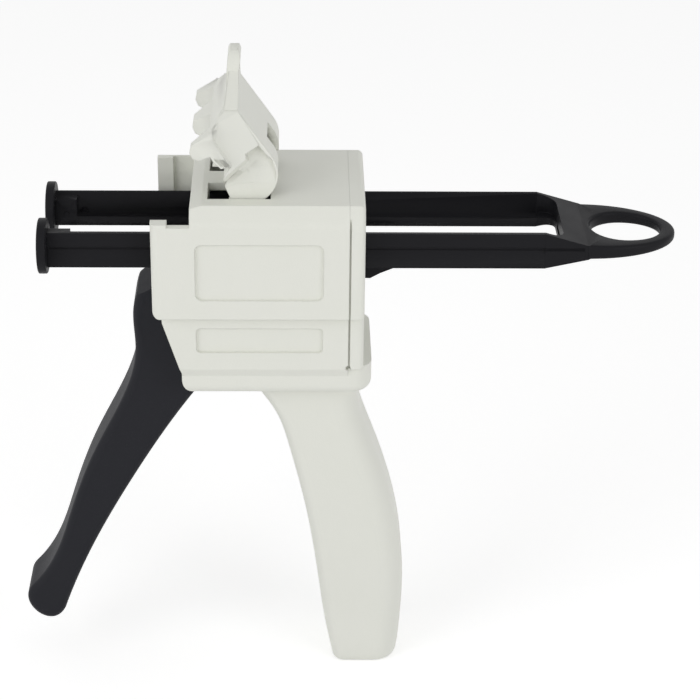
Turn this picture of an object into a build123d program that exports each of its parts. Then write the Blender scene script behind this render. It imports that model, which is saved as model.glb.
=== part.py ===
from build123d import *
import math
import os

# A hand-held dispensing gun for two-barrel dental cartridges.
# Frame: origin in the flange slot, midway between the two plunger axes,
# +X towards the pull loop, +Z up, millimetres.

# Housing, upper box
cradle_length = 10.0
flange_slot = 5.2
cradle_half_opening = 20.0
slot_half_width = 21.6
cradle_floor_z = -12.0
slot_floor_z = -14.5
seat_x = 1.4
seat_wall = 6.0
near_cheek_z = 10.4
far_cheek_z = 13.9
cheek_lip = 0.9
front_round = 2.2
box_length = 47.7
half_width = 24.0
deck_z = 16.3
belly_z = -19.0
wall = 2.4
shoulder_run = 3.0
shoulder_drop = 5.0
shoulder_round = 5.0
rim_length = 3.5
rim_drop = 0.9
label_recess_depth = 0.8

# Housing, lower box and grip
lower_half_width = 20.5
chin_half_width = 19.0
chin_top_z = -37.4
chin_taper = 2.8
chin_z = -46.8
chin_front_x = -1.9
chin_front_round = 5.0
chin_bottom_round = 3.2
chin_rear_x = 54.9
chin_rear_round = 6.0
grip_half_width = 12.5
grip_bottom_z = -149.4
grip_wall = 3.0
grip_front_round = 3.5
grip_back_round = 7.0
grip_foot = ((1.2, 0.6), (0.0, 2.2))
grip_stations = [(-42.0, 19.5, 50.4), (-50.0, 21.2, 50.8), (-56.5, 25.4, 51.4), (-69.0, 29.8, 55.4),
                 (-90.0, 34.8, 62.2), (-116.0, 39.0, 66.2), (-138.0, 42.2, 65.6), (-146.0, 43.8, 64.8)]

# Rear cover and its screws
cover_thickness = 4.6
cover_bottom_z = chin_top_z
cover_corner = 1.6
seam_width = 0.5
seam_depth = 1.0
seam_top_z = 15.0
seam_hole_radius = 0.8
screw_shank_radius = 1.3
screw_head_radius = 2.6
screw_head_height = 1.6
screw_boss_radius = 2.9
screw_inset = wall + screw_boss_radius - 0.2
screw_places = ((half_width - screw_inset, 10.0), (lower_half_width - screw_inset, -27.0))
screw_length = 12.0

# Locking lever, shown flipped open
lever_axis = (17.4, 23.7)
lever_pin_radius = 1.5
lever_ear_radius = 9.6
lever_half_width = 15.5
lever_plate = 2.3
lever_pin_cover = 0.9
hook_half_width = 22.0
hook_half_base = 6.6
hook_back_x = 8.0
hook_profile = ((2.3, 35.1), (7.9, 38.6), (11.4, 42.0), (13.0, 41.0), (9.8, 36.0), (7.8, 31.8), (4.8, 30.5),
                (2.7, 31.1), (1.9, 32.8))
leg_profile = ((7.6, 38.0), (13.7, 28.4), (12.3, 28.5), (10.8, 28.0), (8.5, 30.3), (7.6, 32.0))
leg_serrations = 5
gable_front = ((7.9, 38.6), (10.0, 41.6), (11.6, 44.0), (12.7, 49.6))
lever_back = (15.7, 42.9)
ridge_z = 49.4
lug_half_width = 3.8
lug_radius = 5.0
side_hollow = ((13.4, 25.8), (21.2, 32.7), (23.4, 29.9), (19.6, 26.3), (11.6, 19.8))
side_hollow_tilt = 8.5
tab_half_width = 5.5
tab_profile = ((12.1, 46.5), (12.1, 50.0), (12.5, 55.3), (13.2, 57.1), (14.5, 57.6), (15.7, 57.0),
               (16.2, 54.9), (15.6, 50.0), (15.6, 46.5))
tab_top_z = 57.6
back_window_half_width = 5.7
back_window_rise = 2.7
deck_window = (6.4, 24.8)
deck_window_inner = 4.4
deck_window_outer = 16.3

# Plunger
barrel_half_spacing = 13.5
disc_radius = 8.2
disc_thickness = 2.6
disc_front_x = -43.2
rod_z = -0.5
rod_half_height = 5.5
rod_outer_y = 15.7
rod_web = 1.4
rod_nose = 6.5
stem_y = 12.0
stem_radius = 1.2
disc_pin_offset = 3.4
disc_pin_radius = 0.8
rod_inner_y = 10.3
rack_top_z = -1.2
rack_root_z = -2.9
rack_tip_z = -4.2
tooth_pitch = 3.22
rack_front_x = -31.0
rack_teeth = 34
groove_depth = 0.7
groove_half_height = 1.3
rod_end_x = 105.5
ramp_end_x = 118.0
bridge_x = 108.4
loop_hole = (119.7, 140.3)
loop_hole_half_width = 9.6
loop_shoulder_x = 121.0
loop_side = (134.0, 13.2)
loop_tip_x = 145.6
loop_z = -1.4
loop_half_thickness = 1.3

# Inner frame
frame_inner_y = 10.2
frame_plate = 2.0
frame_top_z = -15.4
frame_shoulder_z = belly_z - 1.0
frame_floor_z = cover_bottom_z + 1.0
frame_front_x = -2.2
frame_toe_x = 0.2
frame_post_slope = 1.5
frame_window = ((29.5, 38.5), (-33.0, -23.0))
frame_ties = ((26.0, -33.2), (box_length - 5.7, -33.2))
tie_radius = 1.8
tie_rivet_radius = 1.0
bridge_thickness = 1.6
bridge_top_z = -16.6
rail_z = (-31.0, -29.2)
shelf_thickness = 1.6

# Trigger and drive pawl
trigger_axis = (15.0, -32.0)
trigger_half_width = 9.4
trigger_round = 2.2
trigger_pin_radius = 2.0
trigger_hub_radius = 6.0
pawl_arm = 19.5
pawl_lean = 13.0
arm_half_width = 3.6
fork_half_width = 7.0
pawl_hub_half_width = 3.2
pawl_pin_radius = 1.25
pawl_hub_radius = 3.0
pawl_tip_offset = (-3.4, 8.0)
pawl_spring_y = (2.1, 3.3)
pawl_half_width = 13.4

# Release lever
release_axis = (box_length - 7.7, -11.6)
release_pin_radius = 1.25
release_hub_radius = 3.0
release_hub_half_width = 9.8
release_neck_half_width = 3.9
release_seat_z = -9.9
release_tip_x = release_axis[0] - 6.5
release_pad_x = box_length + 13.3
release_pad_half_width = 8.6
release_slot_z = (-16.6, -6.2)
frame_post = (release_axis[0] - 4.5, release_axis[0] + 4.5)
bridge_seat = (release_tip_x - 2.5, release_tip_x + 3.5)

# Clearances
slide_gap = 0.3
hinge_gap = 0.35
pin_gap = 0.05


def block(x_range, y_range, z_range):
    """Box between two corners."""
    size = [b - a for a, b in (x_range, y_range, z_range)]
    middle = [(a + b) / 2 for a, b in (x_range, y_range, z_range)]
    return Pos(*middle) * Box(*size)


def centred(half):
    """The range from minus to plus one half width."""
    return (-half, half)


def mirrored(y_range):
    """The same range on the other side of the middle plane."""
    return (-y_range[1], -y_range[0])


def both_sides(y_range):
    """A range and its mirror image."""
    return (y_range, mirrored(y_range))


def side_slab(outline, y_range):
    """Plate with a side outline, given as (x, z) points or as edges, between two Y planes."""
    if isinstance(outline[0], tuple):
        face = make_face(Polyline(*[(x, 0, z) for x, z in outline], close=True))
    else:
        face = make_face(outline)
    return extrude(Pos(0, y_range[0], 0) * face, amount=y_range[1] - y_range[0], dir=(0, 1, 0))


def in_side_plane(points):
    """Points of the XZ plane from (x, z) pairs."""
    return [(x, 0, z) for x, z in points]


def plan_slab(outline, z_range):
    """Plate with a plan outline of (x, y) points between two Z planes."""
    face = make_face(Polyline(*[(x, y, 0) for x, y in outline], close=True))
    return extrude(Pos(0, 0, z_range[0]) * face, amount=z_range[1] - z_range[0], dir=(0, 0, 1))


def cross_pin(centre, radius, y_range):
    """Round bar along Y through an (x, z) centre."""
    middle = (y_range[0] + y_range[1]) / 2
    return Pos(centre[0], middle, centre[1]) * Rot(90, 0, 0) * Cylinder(radius, y_range[1] - y_range[0])


def long_pin(centre, radius, x_range):
    """Round bar along X through a (y, z) centre."""
    middle = (x_range[0] + x_range[1]) / 2
    return Pos(middle, centre[0], centre[1]) * Rot(0, 90, 0) * Cylinder(radius, x_range[1] - x_range[0])


def edges_near(part, axis, test):
    """Straight edges along an axis whose middle passes a test."""
    return [edge for edge in part.edges().filter_by(axis) if test(edge.center())]


def grip_section(station, inset):
    """Plan outline of the grip at one height: small corners in front, large ones behind."""
    z, front, back = station
    x0, x1, half = front + inset, back - inset, grip_half_width - inset
    r0, r1 = grip_front_round - inset * 0.5, grip_back_round - inset * 0.5
    return Wire([
        Line((x0, -half + r0, z), (x0, half - r0, z)),
        RadiusArc((x0, half - r0, z), (x0 + r0, half, z), r0),
        Line((x0 + r0, half, z), (x1 - r1, half, z)),
        RadiusArc((x1 - r1, half, z), (x1, half - r1, z), r1),
        Line((x1, half - r1, z), (x1, -half + r1, z)),
        RadiusArc((x1, -half + r1, z), (x1 - r1, -half, z), r1),
        Line((x1 - r1, -half, z), (x0 + r0, -half, z)),
        RadiusArc((x0 + r0, -half, z), (x0, -half + r0, z), r0),
    ])


def grip(inset=0.0):
    """Grip lofted through its stations; an inset gives the hollow inside it."""
    if inset > 0:
        stations = grip_stations[:-1] + [(grip_bottom_z + inset + 2, *grip_stations[-1][1:])]
        return Solid.make_loft([grip_section(station, inset) for station in stations])
    foot = [grip_section((grip_bottom_z + rise, *grip_stations[-1][1:]), tuck) for rise, tuck in grip_foot]
    return Solid.make_loft([grip_section(station, 0) for station in grip_stations] + foot)


def lower_outline(inset=0.0):
    """Side outline of the lower box, front edge first; inset moves it inwards by a wall."""
    return [(-7.6 + inset, belly_z), (-7.4 + inset, -22.0), (chin_front_x - 0.1 + inset, chin_top_z - 1.6),
            (chin_front_x + inset, chin_z + inset), (box_length, chin_z + inset), (box_length, belly_z)]


def rounded_chin(outline, half, radius):
    """Slab with a side outline and a rounded front lower corner."""
    slab = side_slab(outline, centred(half))
    corner = edges_near(slab, Axis.Y, lambda c: c.X < chin_front_x + wall + 1 and c.Z < chin_z + wall + 1)
    return fillet(corner, radius)


def lower_box():
    """Lower box with the chin under it, which runs on behind as a rounded ledge."""
    x, low = -cradle_length, chin_top_z - chin_taper
    half = [(lower_half_width, belly_z), (lower_half_width, chin_top_z), (chin_half_width, low),
            (chin_half_width, chin_z)]
    corners = half + [(-y, z) for y, z in reversed(half)]
    section = make_face(Polyline(*[(x, y, z) for y, z in corners], close=True))
    form = extrude(section, amount=box_length - x, dir=(1, 0, 0))
    form = fillet(edges_near(form, Axis.X, lambda c: c.Z < chin_z + 0.01), chin_bottom_round)
    box = rounded_chin(lower_outline(), lower_half_width, chin_front_round) & form
    ledge = block((box_length - 8, chin_rear_x), centred(chin_half_width), (chin_z, chin_top_z))
    ledge = fillet(edges_near(ledge, Axis.Z, lambda c: c.X > box_length), chin_rear_round)
    floor_edges = [edge for edge in ledge.edges()
                   if edge.center().Z < chin_z + 0.01 and edge.center().X > box_length - 7]
    return box + fillet(floor_edges, chin_bottom_round)


def shoulders(x_range):
    """Section of the upper box: flat deck, sloped shoulders with a soft lower edge."""
    deck_half, side_z = half_width - shoulder_run, deck_z - shoulder_drop
    x = x_range[0]
    section = make_face(Polyline((x, -half_width, belly_z), (x, -half_width, side_z), (x, -deck_half, deck_z),
                                 (x, deck_half, deck_z), (x, half_width, side_z), (x, half_width, belly_z),
                                 close=True))
    form = extrude(section, amount=x_range[1] - x, dir=(1, 0, 0))
    soft = edges_near(form, Axis.X, lambda c: abs(c.Y) > half_width - 0.1 and c.Z > 0)
    return fillet(soft, shoulder_round)


def upper_box():
    """Outer form of the upper box with its shoulders, front corners and unequal cheeks."""
    x_range = (-cradle_length, box_length)
    box = block(x_range, centred(half_width), (belly_z, deck_z))
    fronts = edges_near(box, Axis.Z, lambda c: c.X < -cradle_length + 1)
    sill = edges_near(box, Axis.Y, lambda c: c.X < -cradle_length + 1 and c.Z < 0)
    box = fillet(fronts + sill, front_round) & shoulders(x_range)
    top = deck_z + 1
    box -= block((-cradle_length - 1, seat_x), (0, half_width + 1), (far_cheek_z, top))
    box -= block((-cradle_length - 1, -flange_slot), (-half_width - 1, 0), (near_cheek_z + cheek_lip, top))
    box -= block((-flange_slot - 0.01, seat_x), (-half_width - 1, 0), (near_cheek_z, top))
    return box


def cradle_cut():
    """U-shaped opening for the barrels and the deeper slot for the cartridge flange."""
    top = deck_z + 1
    opening = block((-cradle_length - 1, -flange_slot + 0.01), centred(cradle_half_opening),
                    (cradle_floor_z, top))
    slot = block((-flange_slot, seat_x), centred(slot_half_width), (slot_floor_z, top))
    opening = fillet(edges_near(opening, Axis.X, lambda c: c.Z < 0), 5.0)
    slot = fillet(edges_near(slot, Axis.X, lambda c: c.Z < 0), 5.5)
    return opening + slot


def rod_passage(x_range, gap):
    """Holes that both rods pass through."""
    y_range = (rod_inner_y - gap, rod_outer_y + gap)
    z_range = (rod_z - rod_half_height - gap, rod_z + rod_half_height + gap)
    first, second = both_sides(y_range)
    return block(x_range, first, z_range) + block(x_range, second, z_range)


def disc_seats():
    """Round pockets in the seat face that take the discs when the plunger is drawn back."""
    depth = (seat_x - 1, seat_x + disc_thickness + 0.6)
    pockets = [long_pin((side * barrel_half_spacing, 0), disc_radius + 0.5, depth) for side in (-1, 1)]
    return pockets[0] + pockets[1]


def recess(x_range, z_range, face_y, corner):
    """Shallow rounded recesses in both side faces."""
    depth = (face_y - label_recess_depth, face_y + 1)
    pocket = block(x_range, depth, z_range)
    pocket = fillet(edges_near(pocket, Axis.Y, lambda c: True), corner)
    return pocket + mirror(pocket, Plane.XZ)


def housing():
    """Moulded housing: cradle, seat, deck, lower box and grip in one piece."""
    body = upper_box() + lower_box() + grip()

    # Hollows
    hollow = block((seat_wall, box_length + 1), centred(half_width - wall), (belly_z + wall, deck_z - wall))
    body -= fillet(edges_near(hollow, Axis.X, lambda c: c.Z > 0), shoulder_run)
    inner = rounded_chin(lower_outline(wall), chin_half_width - wall, chin_front_round - wall)
    inner += block((seat_wall, box_length), centred(lower_half_width - wall), (frame_floor_z, belly_z))
    inner += block((box_length - 1, box_length + 1), centred(lower_half_width - wall),
                   (frame_floor_z, belly_z))
    back_strip = (chin_z - 1, frame_floor_z)
    inner -= block((box_length - wall, box_length + 2), centred(half_width), back_strip)
    body -= inner
    body -= grip(grip_wall)
    body -= cradle_cut()
    body -= rod_passage((seat_x - 1, seat_wall + 1), slide_gap)
    body -= disc_seats()

    # Side rails and shelves that carry the inner frame
    side_y = lower_half_width - wall + 0.5
    rail_x = (frame_toe_x + 0.6, box_length - wall)
    for y_range in both_sides((frame_inner_y + frame_plate, side_y)):
        body += block(rail_x, y_range, rail_z)
    for y_range in both_sides((frame_inner_y, side_y)):
        body += block(rail_x, y_range, (frame_floor_z - shelf_thickness, frame_floor_z))

    # Trigger slot: front, underside and floor
    body -= side_slab([(-14, belly_z), (-14, chin_z - 3), (19.5, chin_z - 3), (19.5, chin_z + wall + 1),
                       (23.0, belly_z)], centred(frame_inner_y))
    body -= block((seat_wall, box_length + 1), centred(frame_inner_y + frame_plate + 1),
                  (belly_z - 1, belly_z + wall + 1))

    # Deck windows for the lever ears
    for y_range in both_sides((deck_window_inner, deck_window_outer)):
        body -= block(deck_window, y_range, (deck_z - wall - 1, deck_z + 1))

    # Hinge lug between the windows
    lug = block((lever_axis[0] - lug_radius, lever_axis[0] + lug_radius), centred(lug_half_width),
                (deck_z - wall, lever_axis[1]))
    lug += cross_pin(lever_axis, lug_radius, centred(lug_half_width))
    body += lug
    body -= cross_pin(lever_axis, lever_pin_radius, centred(lug_half_width + 1))

    # Bosses that take the cover screws
    for place in screw_centres():
        body += long_pin(place, screw_boss_radius, (box_length - screw_length, box_length))
        body -= long_pin(place, screw_shank_radius, (box_length - screw_length + 1, box_length + 1))

    # Sloped front rim of the deck
    body -= side_slab([(seat_x - 0.01, deck_z - rim_drop), (seat_x + rim_length, deck_z),
                       (seat_x + rim_length, deck_z + 1), (seat_x - 0.01, deck_z + 1)], centred(half_width))

    body -= recess((2.8, 40.2), (-12.8, 5.0), half_width, 2.0)
    body -= recess((2.6, 40.1), (-31.7, -23.7), lower_half_width, 1.2)
    body -= seam_holes()
    return body


def seam_holes():
    """Small blind holes at the lower end of the seam on both sides."""
    y_range = (lower_half_width - 2 * seam_depth, lower_half_width + 1)
    hole = cross_pin((box_length, chin_top_z + seam_width), seam_hole_radius, y_range)
    return hole + mirror(hole, Plane.XZ)


def seam():
    """Groove in the side faces of the rear cover, along its joint with the housing."""
    x_range = (box_length - 1, box_length + seam_width)
    heights = ((half_width, (belly_z - 1, seam_top_z)), (lower_half_width, (cover_bottom_z - 1, belly_z)))
    groove = Part()
    for half, z_range in heights:
        for y_range in both_sides((half - seam_depth, half + 1)):
            groove += block(x_range, y_range, z_range)
    return groove


def screw_centres():
    """Centres of the four cover screws as (y, z)."""
    return [(side * y, z) for side in (-1, 1) for y, z in screw_places]


def rear_cover():
    """Cover plate that closes the back of the housing."""
    x_range = (box_length, box_length + cover_thickness)
    rear_x = x_range[1]
    upper = shoulders(x_range)
    rear_edges = [e for e in upper.edges() if e.center().X > rear_x - 0.01 and e.center().Z > belly_z + 1]
    upper = fillet(rear_edges, cover_corner)
    lower = block(x_range, centred(lower_half_width), (cover_bottom_z, belly_z))
    lower_edges = [e for e in lower.edges().filter_by(Axis.Z) if e.center().X > rear_x - 0.01]
    lower = fillet(lower_edges, cover_corner)
    cover = upper + lower - seam() - seam_holes()
    cover -= rod_passage((box_length - 1, rear_x + 1), slide_gap)
    cover -= block((box_length - 1, rear_x + 1), centred(release_pad_half_width + 0.6), release_slot_z)
    for place in screw_centres():
        cover -= long_pin(place, screw_shank_radius + 0.2, (box_length - 1, rear_x + 1))
        cover -= long_pin(place, screw_head_radius + 0.2, (rear_x - screw_head_height - 0.4, rear_x + 1))
    return cover


def frame_plate_side(side):
    """Side plate of the inner frame, slid in from the back and held by the rear cover."""
    y_range = (frame_inner_y, frame_inner_y + frame_plate)
    y_range = y_range if side > 0 else mirrored(y_range)
    post_top_z = release_axis[1] + 2.6
    outline = [(frame_front_x, frame_shoulder_z), (frame_toe_x, frame_floor_z), (box_length, frame_floor_z),
               (box_length, frame_top_z), (frame_post[1], frame_top_z),
               (frame_post[1] - frame_post_slope, post_top_z), (frame_post[0] + frame_post_slope, post_top_z),
               (frame_post[0], frame_top_z), (seat_wall + 1, frame_top_z), (seat_wall + 1, frame_shoulder_z)]
    plate = side_slab(outline, y_range)
    plate -= cross_pin(trigger_axis, trigger_pin_radius, y_range)
    plate -= cross_pin(release_axis, release_pin_radius, y_range)
    for centre in frame_ties:
        plate -= cross_pin(centre, tie_rivet_radius, y_range)
    window = block(frame_window[0], y_range, frame_window[1])
    plate -= fillet(edges_near(window, Axis.Y, lambda c: True), 2.0)
    return plate


def inner_frame_ties():
    """Two riveted cross ties and the bridge that carries the release spring."""
    ties = []
    for centre in frame_ties:
        tie = cross_pin(centre, tie_radius, centred(frame_inner_y))
        tie += cross_pin(centre, tie_rivet_radius, centred(frame_inner_y + frame_plate))
        ties.append(tie)
    ties.append(block(bridge_seat, centred(frame_inner_y), (bridge_top_z - bridge_thickness, bridge_top_z)))
    return Compound(children=ties)


def cover_screws():
    """Four self-tapping screws, seated in the cover."""
    rear_x = box_length + cover_thickness
    head_seat = rear_x - screw_head_height - 0.4
    screws = []
    for y, z in screw_centres():
        head = long_pin((y, z), screw_head_radius, (head_seat, head_seat + screw_head_height))
        shank = long_pin((y, z), screw_shank_radius - pin_gap, (head_seat - screw_length + 2, head_seat))
        slot = block((head_seat + 0.9, rear_x), (y - 0.4, y + 0.4), (z - 1.6, z + 1.6))
        cross = block((head_seat + 0.9, rear_x), (y - 1.6, y + 1.6), (z - 0.4, z + 0.4))
        screws.append(head + shank - slot - cross)
    return Compound(children=screws)


def lever_tangent():
    """Point where the lever's back face runs into the round ear."""
    dx, dz = lever_back[0] - lever_axis[0], lever_back[1] - lever_axis[1]
    angle = math.atan2(dz, dx) - math.acos(lever_ear_radius / math.hypot(dx, dz))
    return (lever_axis[0] + lever_ear_radius * math.cos(angle),
            lever_axis[1] + lever_ear_radius * math.sin(angle))


def lever_side():
    """Side wall of the lever: it ends below in a round ear and has a sloped hollow outside."""
    tangent = lever_tangent()
    y_range = (lever_half_width - lever_plate, lever_half_width)
    front_foot, ear_foot = side_hollow[0], side_hollow[-1]
    wall_outline = [*gable_front[:2], (gable_front[1][0] + 1, lever_back[1]), lever_back, tangent, lever_axis,
                    front_foot]
    plate = side_slab(wall_outline, y_range) + cross_pin(lever_axis, lever_ear_radius, y_range)
    plate -= side_slab([(0, 0), (lever_axis[0] - 4.2, 16.1), ear_foot, front_foot, (0, 26.5)],
                       (y_range[0] - 1, y_range[1] + 1))
    hollow = side_slab(side_hollow, (0, lever_plate + 2))
    hinge_line = (ear_foot[0], lever_half_width)
    hollow = Pos(*hinge_line, 0) * Rot(0, 0, -side_hollow_tilt) * Pos(-hinge_line[0], 0, 0) * hollow
    return plate - hollow


def lever_hood():
    """Back wall that curls round the hinge, and the gable with its ridge and thumb tab."""
    tangent = lever_tangent()
    inner = lever_half_width - lever_plate
    length = math.hypot(tangent[0] - lever_back[0], tangent[1] - lever_back[1])
    ux, uz = (tangent[0] - lever_back[0]) / length, (tangent[1] - lever_back[1]) / length
    nx, nz = uz, -ux
    deep = lever_plate
    corners = [(p[0] + nx * depth, p[1] + nz * depth)
               for p, depth in ((lever_back, 0), (tangent, 0), (tangent, deep), (lever_back, deep))]
    back = side_slab(corners, centred(inner))
    curl = cross_pin(lever_axis, lever_ear_radius, centred(inner))
    curl -= cross_pin(lever_axis, lever_ear_radius - lever_plate, centred(inner))
    curl_room = [lever_axis, (lever_axis[0] + 20, lever_axis[1] - 3), (lever_axis[0] + 20, tangent[1] + 12),
                 (tangent[0] - nx * 6, tangent[1] - nz * 6)]
    back += curl & side_slab(curl_room, centred(inner))
    top = (tangent[0] - ux * back_window_rise, tangent[1] - uz * back_window_rise)
    window = side_slab([(top[0] - nx * 3, top[1] - nz * 3), (top[0] + nx * 5, top[1] + nz * 5),
                        (lever_axis[0] + 3, lever_axis[1] - 4), (lever_axis[0] + 20, lever_axis[1] - 4)],
                       centred(back_window_half_width))
    back -= window
    x = gable_front[0][0]
    foot_z = gable_front[0][1]
    gable = extrude(make_face(Polyline((x, -lever_half_width, foot_z), (x, -lever_half_width, lever_back[1]),
                                       (x, 0, ridge_z), (x, lever_half_width, lever_back[1]),
                                       (x, lever_half_width, foot_z), close=True)),
                    amount=lever_back[0] - x, dir=(1, 0, 0))
    gable -= side_slab([*gable_front, (x - 1, ridge_z + 1), (x - 1, foot_z)], centred(lever_half_width + 1))
    gable -= side_slab([(gable_front[1][0] + 1.6, foot_z - 1), (gable_front[2][0] + 1.0, 43.0),
                        (lever_back[0] - lever_plate, 43.0), (lever_back[0] - lever_plate + 3, foot_z - 1)],
                       centred(inner))
    tab = side_slab(tab_profile, centred(tab_half_width))
    middle = tab_top_z - tab_half_width
    x_range = (0, 30)
    tab &= (block(x_range, centred(tab_half_width), (0, middle))
            + long_pin((0, middle), tab_half_width, x_range))
    return back + gable + tab


def lever_hooks():
    """Front bar with three pointed hooks, and the serrated legs beside the side walls."""
    hooks = side_slab(hook_profile, centred(hook_half_width))
    root_x = hook_profile[5][0] + 0.7
    narrow = hook_profile[2][0]
    plan = block((root_x - 1.0, hook_back_x), centred(hook_half_width), (0, 60))
    plan += plan_slab([(hook_back_x, -hook_half_width), (narrow, -lever_half_width),
                       (narrow + 4, -lever_half_width),
                       (narrow + 4, lever_half_width), (narrow, lever_half_width),
                       (hook_back_x, hook_half_width)], (0, 60))
    plan += plan_slab([(0, -0.6), (root_x, -hook_half_base), (root_x, hook_half_base), (0, 0.6)], (0, 60))
    for side in (-1, 1):
        outer = side * hook_half_width
        plan += plan_slab([(0, outer), (0, outer - side * 0.6), (root_x, outer - side * hook_half_base),
                           (root_x, outer)], (0, 60))
    hooks &= plan
    leg = side_slab(leg_profile, (lever_half_width - lever_plate, hook_half_width))
    for step in range(leg_serrations):
        x, z = 8.9 + 0.62 * step, 30.9 - 0.05 * step
        leg -= side_slab([(x, z), (x + 2.0, z - 2.4), (x + 2.3, z - 2.15), (x + 0.3, z + 0.25)],
                         (hook_half_width - 0.3, hook_half_width + 1))
    return hooks + leg + mirror(leg, Plane.XZ)


def locking_lever():
    """Hood-shaped lever with three hooks, two serrated legs and a thumb tab."""
    side = lever_side()
    lever = side + mirror(side, Plane.XZ) + lever_hood() + lever_hooks()
    bore_half = lever_half_width - lever_pin_cover + 0.1
    lever -= cross_pin(lever_axis, lever_pin_radius + pin_gap, centred(bore_half))
    lever -= cross_pin(lever_axis, lug_radius + hinge_gap, centred(lug_half_width + hinge_gap))
    return lever


def rod(side):
    """One plunger rod: outer web with a groove, and the rack bar on its inner side."""
    start = disc_front_x + disc_thickness
    z_range = (rod_z - rod_half_height, rod_z + rod_half_height)
    web = block((start, rod_end_x), (rod_outer_y - rod_web, rod_outer_y), z_range)
    groove = extrude(make_face(Polyline((start, rod_outer_y + 0.01, rod_z + groove_half_height),
                                        (start, rod_outer_y - groove_depth, rod_z),
                                        (start, rod_outer_y + 0.01, rod_z - groove_half_height),
                                        close=True)), amount=rod_end_x - start, dir=(1, 0, 0))
    web -= groove
    bar_y = (rod_inner_y, rod_outer_y - rod_web)
    bar = block((start, rod_end_x), bar_y, (rack_root_z, rack_top_z))
    bar += block((start, start + rod_nose), bar_y, (rack_tip_z, z_range[1]))
    teeth = []
    for index in range(rack_teeth):
        x = rack_front_x + index * tooth_pitch
        teeth.append((x, rack_root_z))
        teeth.append((x, rack_tip_z))
        teeth.append((x + 0.7, rack_tip_z))
    last = rack_front_x + rack_teeth * tooth_pitch
    outline = teeth + [(last, rack_root_z), (last, rack_root_z + 0.2), (rack_front_x, rack_root_z + 0.2)]
    bar += side_slab(outline, bar_y)
    one = web + bar
    return one if side > 0 else mirror(one, Plane.XZ)


def plunger_frame():
    """Both rods and the pull loop, moulded in one piece."""
    frame = rod(1) + rod(-1)
    ramp = side_slab([(rod_end_x, rod_z - rod_half_height), (rod_end_x, rod_z + rod_half_height),
                      (ramp_end_x, loop_z + loop_half_thickness), (loop_tip_x, loop_z + loop_half_thickness),
                      (loop_tip_x, loop_z - loop_half_thickness), (ramp_end_x, loop_z - loop_half_thickness)],
                     centred(rod_outer_y))
    x1, y1 = loop_side
    outline = make_face([
        Line((rod_end_x, -rod_outer_y), (loop_shoulder_x, -rod_outer_y)),
        Line((loop_shoulder_x, -rod_outer_y), (x1, -y1)),
        Spline((x1, -y1), (loop_tip_x - 2.4, -6.5), (loop_tip_x, 0), (loop_tip_x - 2.4, 6.5), (x1, y1),
               tangents=[(1, 0.2, 0), (-1, 0.2, 0)]),
        Line((x1, y1), (loop_shoulder_x, rod_outer_y)),
        Line((loop_shoulder_x, rod_outer_y), (rod_end_x, rod_outer_y)),
        Line((rod_end_x, rod_outer_y), (rod_end_x, -rod_outer_y)),
    ])
    loop = ramp & extrude(Pos(0, 0, -20) * outline, amount=40, dir=(0, 0, 1))
    gap = block((rod_end_x - 1, bridge_x), centred(rod_inner_y), (-10, 10))
    gap = fillet(edges_near(gap, Axis.Z, lambda c: c.X > rod_end_x), bridge_x - rod_end_x - 0.3)
    loop -= gap
    hole = block(loop_hole, centred(loop_hole_half_width), (-10, 10))
    hole = fillet(edges_near(hole, Axis.Z, lambda c: c.X > loop_hole[0] + 1), 7.0)
    hole = fillet(edges_near(hole, Axis.Z, lambda c: c.X < loop_hole[0] + 1), 2.5)
    loop -= hole
    frame += loop
    for side in (-1, 1):
        socket = long_pin((side * stem_y, rod_z), stem_radius + pin_gap,
                          (disc_front_x, disc_front_x + disc_thickness + 5))
        frame -= socket
    for y_range in both_sides((rod_inner_y - 1, rod_outer_y - 0.8)):
        frame -= cross_pin((disc_front_x + disc_thickness + disc_pin_offset, rod_z), disc_pin_radius, y_range)
    return frame


def piston_disc(side):
    """Flat disc that pushes one cartridge piston, with the stem that plugs into its rod."""
    x_range = (disc_front_x, disc_front_x + disc_thickness)
    disc = long_pin((side * barrel_half_spacing, 0), disc_radius, x_range)
    rims = [e for e in disc.edges() if e.geom_type == GeomType.CIRCLE]
    disc = fillet(rims, 0.4)
    disc += long_pin((side * stem_y, rod_z), stem_radius, (disc_front_x + 1, x_range[1] + 4.8))
    disc -= cross_pin((x_range[1] + disc_pin_offset, rod_z), disc_pin_radius, centred(rod_outer_y))
    return disc


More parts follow.
